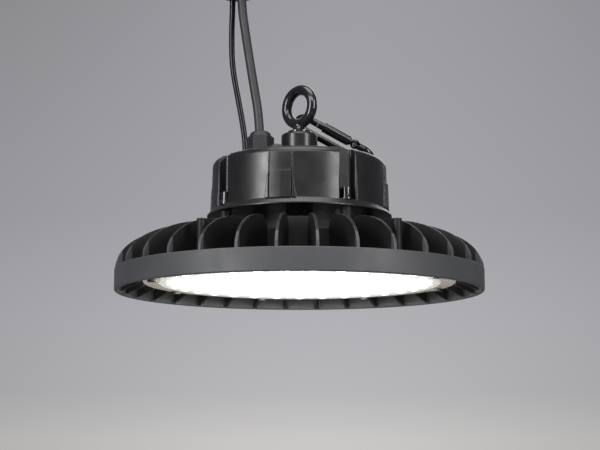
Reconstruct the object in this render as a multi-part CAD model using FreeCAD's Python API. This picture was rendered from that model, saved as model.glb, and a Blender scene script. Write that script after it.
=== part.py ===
"""Round industrial high bay light with an eye bolt, a screw-lock snap hook and two cables.

Millimetres. Z is up, and z = 0 is the plane of the rim's lower edge. The lamp's axis is the Z axis.
-Y is the front. Angles of a pattern are counted from +X towards +Y. Each piece is its own solid, and
every pattern repeats in each quarter turn, as the castings do.
"""
import FreeCAD, Part
import math
import os

V = FreeCAD.Vector
UP = V(0, 0, 1)

# ---------------------------------------------------------------- heat sink
RIM_RADIUS = 150.0
RIM_HEIGHT = 17.6
RIM_WALL = 3.5
RIM_LIP = 0.8              # bevel at the rim's lower edge, inside and outside
FIN_COUNT = 32
FIN_FIRST_DEG = 5.0        # where the first fin stands
FIN_WALL = 2.1
FIN_HEIGHT = 32.4          # fin crest above the rim's upper edge
FIN_CREST_R = 88.0         # where the fins' elliptical edge is level
FIN_INNER_R = 81.0
FIN_SHOULDER_R = 101.0     # where the crest starts to round down to the inner edge
FIN_SHOULDER_DROP = 13.0   # how far it rounds down
FIN_STEP_IN = 0.5          # ledge left on the rim outside the fins
FIN_FOOT_DROP = 6.4        # slope of a fin's lower edge across the vent
BAY_WALL = 2.4             # ring that closes the bays between the fins on the inside
BAY_WALL_TOP_Z = 41.0
SCREEN_WIDTH = 16.0        # four higher pieces of that ring
SCREEN_TOP_Z = 50.0
SCREEN_FIRST_DEG = -0.625
PLATE_RADIUS = 128.6
PLATE_Z = 15.0             # underside of the plate that carries the lamp board
PLATE_WALL = 5.0
LAND_DEPTH = 2.3           # raised ring that the lens seals against
LAND_WIDTH = 16.6
EJECTOR_D = 4.4            # half-round cast bosses on the rim's inside, one behind each fin
EJECTOR_HEIGHT = 12.0
HUB_D = 23.0
HUB_BORE_D = 12.0
RIB_COUNT = 16             # low ribs from the hub to every other fin
RIB_TOP_Z = 50.0
RIB_END_Z = 27.0
RIB_LEVEL_R = 16.0
PILLAR_D = 9.0
PILLAR_R = 69.0            # radius of the circle of pillars and of the driver screws
PILLAR_FIRST_DEG = 32.0
PILLAR_COUNT = 4
GUSSET_R = 61.7            # upright web that runs from each pillar in to this radius
GUSSET_TURN_DEG = -4.2
GUSSET_TOP_GAP = 1.0       # below the driver's base
POST_D = 7.0               # accessory posts
POST_OUT = 1.4             # each post's axis beyond the plate's edge
POST_TOP_Z = 44.0
POST_FROM_Y_DEG = 33.75    # each post's angle from the Y axis
POST_HOLE_D = 4.2
POST_HOLE_DEPTH = 14.0

# ---------------------------------------------------------------- lens and lamp board
LENS_EDGE_GAP = 1.4        # between the edges of lens and plate
LENS_WALL = 3.0
LENS_GAP = 2.0             # height of the gasket between lens and land
LENS_STEP_OUT = 2.6        # the thicker middle of the lens reaches this far beyond the land's inside
LENS_STEP = 1.0
DOME_D = 8.6
DOME_HEIGHT = 1.1
DOME_RINGS = ((86.4, 8), (64.4, 14), (42.4, 20), (22.4, 26), (5.4, 32))   # inset from the board's edge, count
LENS_SCREW_COUNT = 8
LENS_SCREW_INSET = 7.2     # in from the plate's edge
LENS_SCREW_FIRST_DEG = 16.25
LENS_SCREW_D = 4.0
LENS_SCREW_HEAD_D = 7.6
LENS_SCREW_HEAD = 2.4
LENS_SCREW_LENGTH = 10.0
LENS_PAD_D = 9.0           # spacers on the lens flange around its screws
GASKET_INSET = 0.6         # out from the land's inside
GASKET_WALL = 3.6
PAD_WALL = 0.4             # thermal pad
LAMP_BOARD_GAP = 1.6       # between the board and the land
LAMP_BOARD_WALL = 1.6
CHIP_SIZE = 3.0
CHIP_HEIGHT = 0.8
BOARD_HOLE_D = 8.0
LAMP_SCREW_INNER_R = 35.0
LAMP_SCREW_INSET = 13.4    # outer ring of screws, in from the board's edge
LAMP_SCREW_COUNT = 6
LAMP_SCREW_FIRST_DEG = 5.0
LAMP_SCREW_D = 3.0
LAMP_SCREW_HEAD_D = 5.4
LAMP_SCREW_HEAD = 1.1
LEAD_D = 5.6
GROMMET_FLANGE_D = 11.0    # around the lead where it enters the driver
GROMMET_FLANGE = 1.2
GROMMET_CLEARANCE = 0.05

# ---------------------------------------------------------------- driver housing
DRIVER_Z = 61.6            # underside of the driver's base
BASE_WALL = 2.0
BASE_POCKET_R = 73.0       # pocket under the cover that the base and its gasket sit in
BASE_CLEARANCE = 0.3       # around the base in that pocket
BASE_SPIGOT_R = 60.5       # ring on the base that centres it in the cover
BASE_SPIGOT_WALL = 2.0
BASE_SPIGOT_HEIGHT = 3.5
BASE_GASKET = 0.8
FLANGE_RADIUS = 76.0
FLANGE_HEIGHT = 1.0        # upright edge of the flange, under its bevel
BEVEL_HEIGHT = 4.2
COVER_RADIUS = 72.6        # at the top of the flange's bevel
COVER_DRAFT = 0.9          # how much smaller the radius is at the top
COVER_TOP_Z = 108.5
COVER_FILLET = 6.0
COVER_WALL = 3.1
COVER_ROOF = 3.2
GROOVE_WIDTH = 14.4
GROOVE_FLOOR_R = 64.2
GROOVE_CORNER = 2.0
GROOVE_FLARE = 1.4
GROOVE_WALL = 2.6          # cast wall between a groove and the inside
SEAT_WALL = 2.6            # what the driver screws clamp, under each groove
TAB_FIRST_DEG = -11.8
TAB_WIDTH = 17.0
TAB_RAISE = 0.6
TAB_EDGE_GROOVE = 1.1      # width of the grooves along both sides of a strap
TAB_EDGE_DEPTH = 0.9
TAB_SLOT_WIDTH = 1.2
TAB_SLOT_OFF = 3.8         # left of the strap's middle
FOOT_TOP_Z = 88.0          # the thicker foot of each tab ends here
FOOT_TOP_WIDTH = 20.5
FOOT_WIDTH = 25.0
FOOT_CORNER = 3.2
FOOT_RAISE = 1.2
BOSS_D = 30.0
BOSS_TOP_Z = 132.5
BOSS_EDGE = 2.2
BOSS_ROOT = 4.0
DRIVER_SCREW_D = 4.0
DRIVER_SCREW_HEAD_D = 7.6
DRIVER_SCREW_HEAD = 6.0
DRIVER_SCREW_LENGTH = 17.0 # below the washers
WASHER_D = 9.0
WASHER_WALL = 1.6
LOCK_WASHER_D = 8.0
LOCK_WASHER_WALL = 2.2
LOCK_WASHER_GAP = 1.2      # split in its ring
WASHER_CLEARANCE = 0.2     # around the shank in both washers
SOCKET_AF = 3.0            # hexagon socket in a screw head
SOCKET_DEPTH = 2.2
TAPPED_CLEARANCE = 0.05    # between a screw's shank and its tapped hole
HOLE_CLEARANCE = 0.25      # between a screw's shank and a plain hole

# ---------------------------------------------------------------- driver inside
DRIVER_BOARD = (90.0, 68.0, 1.6)
DRIVER_BOARD_CORNER = 6.0
STANDOFF_D = 7.0
STANDOFF_HEIGHT = 6.4
STANDOFF_X = 37.0
STANDOFF_Y = 26.0
BOARD_SCREW_D = 3.0
BOARD_SCREW_HEAD_D = 5.5
BOARD_SCREW_HEAD = 2.0
BOARD_SCREW_LENGTH = 6.0
TRANSFORMER_CORE = (30.0, 10.0, 26.0)
TRANSFORMER_COIL = (22.0, 24.0, 18.0)
TRANSFORMER_AT = (18.0, 14.0)
CAPACITORS = (((-8.0, -20.0), 18.0, 25.0), ((12.0, -21.0), 12.5, 22.0), ((27.0, -20.0), 10.0, 16.0))
CHOKE_AT = (-30.0, 12.0)
CHOKE_D = 22.0
CHOKE_BORE_D = 9.0
CHOKE_HEIGHT = 9.0
TERMINAL = (14.0, 9.0, 10.0)
INPUT_TERMINAL_AT = (-30.0, -14.0)
OUTPUT_TERMINAL_AT = (-10.0, 8.0)

# ---------------------------------------------------------------- eye bolt
EYE_CENTRE_Z = 156.0
EYE_RING_R = 14.4          # centre line of the ring
EYE_BAR_D = 8.6
EYE_TURN_DEG = -43.0       # how far the ring's plane is turned from the XZ plane
EYE_SEAL_D = 20.0
EYE_SEAL_WALL = 0.8
EYE_COLLAR_D = 19.0
EYE_COLLAR_HEIGHT = 1.6
EYE_NECK_D = 9.4
EYE_THREAD_D = 10.0
EYE_THREAD_LENGTH = 23.0

# ---------------------------------------------------------------- snap hook
HOOK_BAR_D = 6.0
HOOK_LENGTH = 70.0         # between the centre lines of its two ends
HOOK_WIDTH = 18.2          # between the centre lines of its two sides
HOOK_END = V(-0.7, 10.5, 147.5)                 # middle of the end beside the eye
HOOK_ALONG = V(0.8707, 0.0004, -0.4918)         # from that end to the other
HOOK_ACROSS = V(0.1724, -0.9367, 0.3046)        # from its spine to its gate
NOSE_S = 17.0              # distances along the hook from the end beside the eye
PIVOT_S = 52.0
GATE_D = 6.4
GATE_GAP = 0.3
TONGUE_WALL = 2.0
TONGUE_CLEARANCE = 0.25
TONGUE_LENGTH = 4.0
PIVOT_PIN_D = 2.2
PIN_CLEARANCE = 0.03
SLEEVE_D = 8.6
SLEEVE_CLEARANCE = 0.1
SLEEVE_S = 22.5
SLEEVE_LENGTH = 24.0

# ---------------------------------------------------------------- glands, vent and cables
POWER_GLAND = dict(at=(-32.0, -12.0), across_flats=19.4, dome_d=17.6, thread_d=16.0, base=5.0,
                   nut=14.5, dome=4.0, cable_d=7.5)
DIMMING_GLAND = dict(at=(-45.4, 20.0), across_flats=14.0, dome_d=12.6, thread_d=11.0, base=3.0,
                     nut=6.8, dome=2.2, cable_d=5.0)
GLAND_WALL = 1.6           # least wall of a gland's thread
GLAND_NECK = 6.0           # thread that stands into the cap nut
LOCKNUT_HEIGHT = 3.6
LOCKNUT_GROWTH = 1.1       # locknut's width over the gland's
CABLE_CLEARANCE = 0.7      # around a cable in its cap nut
POWER_ROUTE = ((-32.0, -12.0, 100.0), (-32.0, -12.0, 137.5), (-38.9, -9.4, 178.0), (-45.2, -6.4, 218.0),
               (-48.8, -4.5, 244.0), (-48.8, -4.5, 262.0))
DIMMING_ROUTE = ((-45.4, 20.0, 106.0), (-45.4, 20.0, 127.0), (-48.2, 18.6, 147.5), (-52.2, 16.4, 168.5),
                 (-57.0, 12.8, 194.0), (-57.6, 9.2, 221.0), (-56.7, 6.0, 244.0), (-56.7, 6.0, 262.0))
ROSE_Z = 253.0
ROSE_D = 40.0
ROSE_HEIGHT = 16.0
ROSE_EDGE = 5.0
ROSE_CLEARANCE = 0.5       # around a cable in its hole
VENT_AT = (-18.3, -46.0)
VENT_D = 11.0
VENT_HEIGHT = 5.4
VENT_THREAD_D = 7.0

# ---------------------------------------------------------------- worked out
RIM_INNER_R = RIM_RADIUS - RIM_WALL
LAND_INNER_R = PLATE_RADIUS - LAND_WIDTH
POST_R = PLATE_RADIUS + POST_OUT
LENS_RADIUS = PLATE_RADIUS - LENS_EDGE_GAP
LENS_STEP_R = LAND_INNER_R + LENS_STEP_OUT
LENS_SCREW_R = PLATE_RADIUS - LENS_SCREW_INSET
GASKET_INNER_R = LAND_INNER_R + GASKET_INSET
LAMP_BOARD_RADIUS = LAND_INNER_R - LAMP_BOARD_GAP
LAMP_SCREW_R = (LAMP_SCREW_INNER_R, LAMP_BOARD_RADIUS - LAMP_SCREW_INSET)
PLATE_TOP = PLATE_Z + PLATE_WALL
LAND_Z = PLATE_Z - LAND_DEPTH
LENS_TOP = LAND_Z - LENS_GAP
LENS_BOTTOM = LENS_TOP - LENS_WALL
LAMP_BOARD_Z = PLATE_Z - PAD_WALL - LAMP_BOARD_WALL
CHIP_Z = LAMP_BOARD_Z - CHIP_HEIGHT
BASE_TOP = DRIVER_Z + BASE_WALL
COVER_Z = BASE_TOP + BASE_GASKET
BASE_RADIUS = BASE_POCKET_R - BASE_CLEARANCE
FLANGE_TOP = DRIVER_Z + FLANGE_HEIGHT
BEVEL_TOP = FLANGE_TOP + BEVEL_HEIGHT
SEAT_Z = COVER_Z + SEAT_WALL
WASHER_TOP = SEAT_Z + WASHER_WALL
LOCK_WASHER_TOP = WASHER_TOP + LOCK_WASHER_WALL
ROOF_Z = COVER_TOP_Z - COVER_ROOF
BOARD_Z = BASE_TOP + STANDOFF_HEIGHT
BOARD_TOP = BOARD_Z + DRIVER_BOARD[2]
HOOK_NORMAL = HOOK_ALONG.cross(HOOK_ACROSS).normalize()


# ---------------------------------------------------------------- helpers
def outline(place, start, *moves):
    """Closed face. A move is an end point, or an arc's middle and end points in one tuple of four."""
    edges, here = [], place(*start)
    for move in moves + (start,):
        end = place(*move[-2:])
        if here.distanceToPoint(end) < 1e-7:
            continue
        if len(move) == 4:
            edges.append(Part.Arc(here, place(*move[:2]), end).toShape())
        else:
            edges.append(Part.LineSegment(here, end).toShape())
        here = end
    return Part.Face(Part.Wire(edges))


def turned(start, *moves):
    """Solid of revolution about Z from a half section in (radius, z)."""
    return outline(lambda r, z: V(r, 0, z), start, *moves).revolve(V(0, 0, 0), UP, 360)


def rod(diameter, z0, z1, x=0.0, y=0.0):
    return Part.makeCylinder(diameter / 2, z1 - z0, V(x, y, z0))


def tube(outer_d, inner_d, z0, z1, x=0.0, y=0.0):
    return rod(outer_d, z0, z1, x, y).cut(rod(inner_d, z0 - 1, z1 + 1, x, y))


def block(size, x, y, z):
    """Box centred on (x, y) and standing at z."""
    return Part.makeBox(size[0], size[1], size[2], V(x - size[0] / 2, y - size[1] / 2, z))


def hexagon(across_flats, z0, z1, x=0.0, y=0.0):
    corner = across_flats / math.sqrt(3)
    points = [V(x + corner * math.cos(math.radians(60 * k)), y + corner * math.sin(math.radians(60 * k)), z0)
              for k in range(7)]
    return Part.Face(Part.makePolygon(points)).extrude(V(0, 0, z1 - z0))


def spun(shape, degrees):
    copy = shape.copy()
    copy.rotate(V(0, 0, 0), UP, degrees)
    return copy


def ring_of(shape, count, first_deg=0.0):
    return [spun(shape, first_deg + 360.0 * k / count) for k in range(count)]


def quarters(shape, first_deg):
    return ring_of(shape, PILLAR_COUNT, first_deg)


def on_circle(radius, degrees):
    return radius * math.cos(math.radians(degrees)), radius * math.sin(math.radians(degrees))


def joined(first, others):
    return first.multiFuse(others).removeSplitter()


def without(shape, cutters):
    return shape.cut(Part.makeCompound(cutters))


def save(name, *solids):
    shape = solids[0] if len(solids) == 1 else Part.makeCompound(list(solids))
    shape.exportStep(os.path.join("parts", name + ".step"))


# ---------------------------------------------------------------- heat sink
def fin():
    """One radial fin: an elliptical crest, a rounded inner shoulder, and a foot that fills the vent."""
    crest_z = RIM_HEIGHT + FIN_HEIGHT
    ellipse = Part.Ellipse(V(RIM_RADIUS, 0, RIM_HEIGHT), V(FIN_CREST_R, 0, crest_z),
                           V(FIN_CREST_R, 0, RIM_HEIGHT))
    long_axis = RIM_RADIUS - FIN_CREST_R
    outer_r = RIM_RADIUS - FIN_STEP_IN
    bounds = [math.acos((r - FIN_CREST_R) / long_axis) for r in (outer_r, FIN_SHOULDER_R)]
    crest = Part.ArcOfEllipse(ellipse, *bounds).toShape()
    if crest.BoundBox.ZMin < RIM_HEIGHT - 1:
        crest = Part.ArcOfEllipse(ellipse, -bounds[1], -bounds[0]).toShape()
    ends = sorted((v.Point for v in crest.Vertexes), key=lambda p: p.x)
    shoulder_z = crest_z - FIN_SHOULDER_DROP
    bulge = V(FIN_INNER_R + 0.24 * (FIN_SHOULDER_R - FIN_INNER_R), 0,
              shoulder_z + 0.62 * (ends[0].z - shoulder_z))
    inner_top = V(FIN_INNER_R, 0, shoulder_z)
    in_rim = RIM_INNER_R + RIM_WALL / 2
    vent_r = PLATE_RADIUS + 0.8
    foot_z = RIM_LIP
    corners = [ends[1], V(outer_r, 0, RIM_HEIGHT), V(in_rim, 0, RIM_HEIGHT), V(in_rim, 0, foot_z),
               V(RIM_INNER_R - 2.5, 0, foot_z), V(vent_r, 0, foot_z + FIN_FOOT_DROP),
               V(vent_r, 0, LAND_Z + 1), V(PLATE_RADIUS - 1, 0, LAND_Z + 1),
               V(PLATE_RADIUS - 1, 0, PLATE_TOP - 0.5), V(FIN_INNER_R, 0, PLATE_TOP - 0.5), inner_top]
    edges = [crest, Part.Arc(inner_top, bulge, ends[0]).toShape()]
    edges += [Part.LineSegment(a, b).toShape() for a, b in zip(corners, corners[1:])]
    face = Part.Face(Part.Wire(Part.__sortEdges__(edges)))
    face.translate(V(0, -FIN_WALL / 2, 0))
    return face.extrude(V(0, FIN_WALL, 0))


def rim():
    lip = RIM_LIP
    return turned((RIM_INNER_R + lip, 0), (RIM_RADIUS - lip, 0), (RIM_RADIUS, lip),
                  (RIM_RADIUS, RIM_HEIGHT - 0.4),
                  (RIM_RADIUS - 0.4, RIM_HEIGHT), (RIM_INNER_R, RIM_HEIGHT), (RIM_INNER_R, lip))


def plate():
    """Round plate with the ring that the lens seals against."""
    return turned((0, PLATE_Z), (LAND_INNER_R, PLATE_Z), (LAND_INNER_R, LAND_Z), (PLATE_RADIUS, LAND_Z),
                  (PLATE_RADIUS, PLATE_TOP), (0, PLATE_TOP))


def rib():
    """Low web from the hub out to the foot of a fin."""
    web = outline(lambda r, z: V(r, -FIN_WALL / 2, z), (HUB_BORE_D / 2 + 2, PLATE_TOP - 0.5),
                  (FIN_INNER_R + 0.5, PLATE_TOP - 0.5), (FIN_INNER_R + 0.5, RIB_END_Z),
                  (RIB_LEVEL_R, RIB_TOP_Z),
                  (HUB_BORE_D / 2 + 2, RIB_TOP_Z))
    return web.extrude(V(0, FIN_WALL, 0))


def bay_wall():
    """Ring inside the fins, with four higher screens."""
    low, outer = PLATE_TOP - 0.5, FIN_INNER_R + BAY_WALL
    screen = Part.makeBox(BAY_WALL, SCREEN_WIDTH, SCREEN_TOP_Z - low, V(FIN_INNER_R, -SCREEN_WIDTH / 2, low))
    return [tube(2 * outer, 2 * FIN_INNER_R, low, BAY_WALL_TOP_Z)] + quarters(screen, SCREEN_FIRST_DEG)


def gusset():
    """Upright web beside a pillar that stands on the +X side."""
    web = Part.makeBox(PILLAR_R, FIN_WALL, DRIVER_Z - GUSSET_TOP_GAP - PLATE_TOP + 0.5,
                       V(0, -FIN_WALL / 2, PLATE_TOP - 0.5))
    x, y = on_circle(GUSSET_R, GUSSET_TURN_DEG)
    reach = math.hypot(x - PILLAR_R, y)
    web = web.common(rod(2 * reach, 0, DRIVER_Z))
    web.rotate(V(0, 0, 0), UP, math.degrees(math.atan2(y, x - PILLAR_R)))
    return web.translated(V(PILLAR_R, 0, 0))


def post_places():
    return [on_circle(POST_R, 90 * side + turn * POST_FROM_Y_DEG) for side in (1, 3) for turn in (-1, 1)]


def heat_sink():
    hub_top = DRIVER_Z - LENS_GAP
    pillar = rod(PILLAR_D, PLATE_Z + 1, DRIVER_Z, PILLAR_R)
    ejector = rod(EJECTOR_D, RIM_LIP, EJECTOR_HEIGHT, RIM_INNER_R)
    posts = [rod(POST_D, LAND_Z, POST_TOP_Z, x, y) for x, y in post_places()]
    casting = joined(rim(), [plate(), rod(HUB_D, PLATE_Z + 1, hub_top)] + posts
                     + quarters(pillar, PILLAR_FIRST_DEG) + quarters(gusset(), PILLAR_FIRST_DEG) + bay_wall()
                     + ring_of(fin(), FIN_COUNT, FIN_FIRST_DEG) + ring_of(rib(), RIB_COUNT, FIN_FIRST_DEG)
                     + ring_of(ejector, FIN_COUNT, FIN_FIRST_DEG))
    holes = [rod(HUB_BORE_D, PLATE_Z - 1, hub_top + 1)]
    holes += [rod(POST_HOLE_D, POST_TOP_Z - POST_HOLE_DEPTH, POST_TOP_Z + 1, x, y) for x, y in post_places()]
    driver_thread = rod(DRIVER_SCREW_D + 2 * TAPPED_CLEARANCE, SEAT_Z - DRIVER_SCREW_LENGTH - 1.5,
                        DRIVER_Z + 1, PILLAR_R)
    holes += quarters(driver_thread, PILLAR_FIRST_DEG)
    lens_thread = rod(LENS_SCREW_D + 2 * TAPPED_CLEARANCE, LAND_Z - 1,
                      LENS_BOTTOM + LENS_SCREW_LENGTH + 0.6, LENS_SCREW_R)
    holes += ring_of(lens_thread, LENS_SCREW_COUNT, LENS_SCREW_FIRST_DEG)
    lamp_thread = LAMP_SCREW_D + 2 * TAPPED_CLEARANCE
    for radius in LAMP_SCREW_R:
        holes += ring_of(rod(lamp_thread, PLATE_Z - 1, PLATE_TOP - 1, radius),
                         LAMP_SCREW_COUNT, LAMP_SCREW_FIRST_DEG)
    return without(casting, holes)


# ---------------------------------------------------------------- lens and lamp board
def dome_places():
    places = [(LAMP_BOARD_RADIUS - inset, 360.0 * k / count)
              for inset, count in DOME_RINGS for k in range(count)]
    return [on_circle(r, degrees) for r, degrees in places]


def dome():
    """Spherical cap that stands down from the lens, with its flat face 0.2 mm inside the plate."""
    radius = ((DOME_D / 2) ** 2 + DOME_HEIGHT ** 2) / (2 * DOME_HEIGHT)
    cap_z = LENS_BOTTOM - LENS_STEP - DOME_HEIGHT
    ball = Part.makeSphere(radius, V(0, 0, cap_z + radius))
    return ball.common(rod(DOME_D + 4, cap_z - 1, cap_z + DOME_HEIGHT + 0.2))


def lens():
    step_z = LENS_BOTTOM - LENS_STEP
    body = turned((0, step_z), (LENS_STEP_R - LENS_STEP, step_z), (LENS_STEP_R, LENS_BOTTOM),
                  (LENS_RADIUS - 0.5, LENS_BOTTOM), (LENS_RADIUS, LENS_BOTTOM + 0.5),
                  (LENS_RADIUS, LENS_TOP), (0, LENS_TOP))
    spacer = rod(LENS_PAD_D, LENS_TOP - 0.5, LAND_Z, LENS_SCREW_R)
    caps = [dome().translated(V(x, y, 0)) for x, y in dome_places()]
    body = body.multiFuse(ring_of(spacer, LENS_SCREW_COUNT, LENS_SCREW_FIRST_DEG) + caps)
    hole = rod(LENS_SCREW_D + 2 * HOLE_CLEARANCE, LENS_BOTTOM - 1, LAND_Z + 1, LENS_SCREW_R)
    return without(body, ring_of(hole, LENS_SCREW_COUNT, LENS_SCREW_FIRST_DEG))


def screw(shank_d, head_d, head, length, seat_z, radius, down=True, socket=SOCKET_AF):
    """Screw on the +X side. Its head stands on seat_z, above it, or below it where down is False."""
    way = 1 if down else -1
    head_ends = sorted((seat_z, seat_z + way * head))
    shank_ends = sorted((seat_z + way * 0.3, seat_z - way * length))
    body = rod(head_d, *head_ends, radius).fuse(rod(shank_d, *shank_ends, radius))
    far = seat_z + way * head
    depth = min(SOCKET_DEPTH, head * 0.6)
    return body.cut(hexagon(socket, *sorted((far - way * depth, far + way)), radius)).removeSplitter()


def lens_screws():
    one = screw(LENS_SCREW_D, LENS_SCREW_HEAD_D, LENS_SCREW_HEAD, LENS_SCREW_LENGTH,
                LENS_BOTTOM, LENS_SCREW_R, False)
    return ring_of(one, LENS_SCREW_COUNT, LENS_SCREW_FIRST_DEG)


def lamp_screws():
    made = []
    for radius in LAMP_SCREW_R:
        length = PLATE_TOP - 1.4 - LAMP_BOARD_Z
        one = screw(LAMP_SCREW_D, LAMP_SCREW_HEAD_D, LAMP_SCREW_HEAD, length,
                    LAMP_BOARD_Z, radius, False, 2.0)
        made += ring_of(one, LAMP_SCREW_COUNT, LAMP_SCREW_FIRST_DEG)
    return made


def drilled_disc(radius, z0, z1):
    hole = LAMP_SCREW_D + 2 * HOLE_CLEARANCE
    holes = [rod(BOARD_HOLE_D, z0 - 1, z1 + 1)]
    for ring in LAMP_SCREW_R:
        holes += ring_of(rod(hole, z0 - 1, z1 + 1, ring), LAMP_SCREW_COUNT, LAMP_SCREW_FIRST_DEG)
    return without(rod(2 * radius, z0, z1), holes)


def chips():
    size = (CHIP_SIZE, CHIP_SIZE, CHIP_HEIGHT)
    return [block(size, x, y, CHIP_Z) for x, y in dome_places()]


# ---------------------------------------------------------------- driver housing
def cover_skin(raise_by, inner_r):
    """The cover's outer form, thickened by raise_by, from a bore of inner_r."""
    low, high = COVER_RADIUS + raise_by, COVER_RADIUS - COVER_DRAFT + raise_by
    fillet = COVER_FILLET + raise_by
    bow = fillet * (1 - math.sqrt(0.5))
    flange = FLANGE_RADIUS
    return turned((inner_r, DRIVER_Z), (flange, DRIVER_Z), (flange, FLANGE_TOP), (low, BEVEL_TOP),
                  (high, COVER_TOP_Z - fillet), (high - bow, COVER_TOP_Z - bow, high - fillet, COVER_TOP_Z),
                  (inner_r, COVER_TOP_Z))


def groove():
    """Cutter for a screw groove: rounded at its floor, flared where it meets the outside."""
    half, corner, flare = GROOVE_WIDTH / 2, GROOVE_CORNER, GROOVE_FLARE
    floor, mouth, out = GROOVE_FLOOR_R, COVER_RADIUS - COVER_DRAFT, FLANGE_RADIUS + 3
    c, f = corner * (1 - math.sqrt(0.5)), flare * (1 - math.sqrt(0.5))
    section = outline(lambda r, s: V(r, s, SEAT_Z),
                      (floor + corner, -half), (mouth - flare, -half),
                      (mouth - f, -half - f, mouth, -half - flare),
                      (out, -half - flare), (out, half + flare), (mouth, half + flare),
                      (mouth - f, half + f, mouth - flare, half), (floor + corner, half),
                      (floor + c, half - c, floor, half - corner), (floor, corner - half),
                      (floor + c, c - half, floor + corner, -half))
    return section.extrude(V(0, 0, COVER_TOP_Z + 5 - SEAT_Z))


def tab():
    """Raised strap down the cover, with a thicker foot that widens towards the flange."""
    place = lambda s, z: V(COVER_RADIUS - 8, s, z)
    half, top, low = TAB_WIDTH / 2, FOOT_TOP_WIDTH / 2, FOOT_WIDTH / 2
    strap = outline(place, (-half, BEVEL_TOP), (half, BEVEL_TOP), (half, COVER_TOP_Z), (-half, COVER_TOP_Z))
    c = FOOT_CORNER
    b = c * (1 - math.sqrt(0.5))
    foot = outline(place, (-low, BEVEL_TOP), (low, BEVEL_TOP), (top, FOOT_TOP_Z - c),
                   (top - b, FOOT_TOP_Z - b, top - c, FOOT_TOP_Z), (c - top, FOOT_TOP_Z),
                   (b - top, FOOT_TOP_Z - b, -top, FOOT_TOP_Z - c))
    bore = COVER_RADIUS - 6
    strap = strap.extrude(V(20, 0, 0)).common(cover_skin(TAB_RAISE, bore))
    foot = foot.extrude(V(20, 0, 0)).common(cover_skin(FOOT_RAISE, bore))
    slot_x = COVER_RADIUS - COVER_DRAFT - 0.3
    slot = Part.makeBox(20, TAB_SLOT_WIDTH, COVER_TOP_Z,
                        V(slot_x, -TAB_SLOT_OFF - TAB_SLOT_WIDTH / 2, FOOT_TOP_Z))
    return strap.cut(slot).fuse(foot)


def tab_edge_grooves():
    """Cutters for the grooves that run down both sides of a strap."""
    floor = COVER_RADIUS - COVER_DRAFT - TAB_EDGE_DEPTH
    half = TAB_WIDTH / 2
    height = COVER_TOP_Z - BEVEL_TOP
    return Part.makeCompound([Part.makeBox(20, TAB_EDGE_GROOVE, height, V(floor, y, BEVEL_TOP))
                              for y in (-half - TAB_EDGE_GROOVE, half)])


def cavity():
    """Inside of the cover: a turned space that steps in around each groove."""
    inner = COVER_RADIUS - COVER_WALL
    space = turned((0, COVER_Z - 1), (inner, COVER_Z - 1), (inner, BEVEL_TOP),
                   (inner - COVER_DRAFT, ROOF_Z - 3),
                   (inner - COVER_DRAFT - 3, ROOF_Z), (0, ROOF_Z))
    half = GROOVE_WIDTH / 2 + GROOVE_WALL
    column = Part.makeBox(inner, 2 * half, ROOF_Z, V(GROOVE_FLOOR_R - GROOVE_WALL, -half, 0))
    return without(space, quarters(column, PILLAR_FIRST_DEG))


def boss():
    half, edge, root = BOSS_D / 2, BOSS_EDGE, BOSS_ROOT
    e, q = edge * (1 - math.sqrt(0.5)), root * (1 - math.sqrt(0.5))
    return turned((0, ROOF_Z), (half, ROOF_Z), (half + root, COVER_TOP_Z),
                  (half + q, COVER_TOP_Z + q, half, COVER_TOP_Z + root), (half, BOSS_TOP_Z - edge),
                  (half - e, BOSS_TOP_Z - e, half - edge, BOSS_TOP_Z), (0, BOSS_TOP_Z))


def driver_cover():
    body = without(cover_skin(0, 0), quarters(groove(), PILLAR_FIRST_DEG) + [cavity()])
    body = body.multiFuse(quarters(tab(), TAB_FIRST_DEG) + [boss()])
    holes = quarters(tab_edge_grooves(), TAB_FIRST_DEG) + [rod(2 * BASE_POCKET_R, DRIVER_Z - 1, COVER_Z)]
    thread = EYE_THREAD_D + 2 * TAPPED_CLEARANCE
    holes += [rod(thread, BOSS_TOP_Z - EYE_THREAD_LENGTH - 2, BOSS_TOP_Z + 1)]
    holes += quarters(rod(DRIVER_SCREW_D + 2 * HOLE_CLEARANCE, COVER_Z - 1, SEAT_Z + 1, PILLAR_R),
                      PILLAR_FIRST_DEG)
    for gland in (POWER_GLAND, DIMMING_GLAND):
        holes.append(rod(gland["thread_d"] + 2 * TAPPED_CLEARANCE, ROOF_Z - 1, COVER_TOP_Z + 1, *gland["at"]))
    holes.append(rod(VENT_THREAD_D + 2 * TAPPED_CLEARANCE, ROOF_Z - 1, COVER_TOP_Z + 1, *VENT_AT))
    return without(body, holes).removeSplitter()


def driver_base():
    standoffs = [rod(STANDOFF_D, BASE_TOP - 0.5, BOARD_Z, x, y) for x, y in standoff_places()]
    spigot = tube(2 * BASE_SPIGOT_R, 2 * (BASE_SPIGOT_R - BASE_SPIGOT_WALL), BASE_TOP - 0.5,
                  BASE_TOP + BASE_SPIGOT_HEIGHT)
    body = joined(rod(2 * BASE_RADIUS, DRIVER_Z, BASE_TOP), [spigot] + standoffs)
    holes = [rod(BOARD_HOLE_D, DRIVER_Z - 1, BASE_TOP + 1)]
    holes += quarters(rod(DRIVER_SCREW_D + 2 * HOLE_CLEARANCE, DRIVER_Z - 1, BASE_TOP + 1, PILLAR_R),
                      PILLAR_FIRST_DEG)
    thread = BOARD_SCREW_D + 2 * TAPPED_CLEARANCE
    holes += [rod(thread, BASE_TOP, BOARD_Z + 1, x, y) for x, y in standoff_places()]
    return without(body, holes)


def lead_grommet():
    flange = rod(GROMMET_FLANGE_D, BASE_TOP, BASE_TOP + GROMMET_FLANGE)
    body = joined(flange, [rod(BOARD_HOLE_D, DRIVER_Z, BASE_TOP + 0.5)])
    return body.cut(rod(LEAD_D + 2 * GROMMET_CLEARANCE, DRIVER_Z - 1, BASE_TOP + GROMMET_FLANGE + 1))


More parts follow.
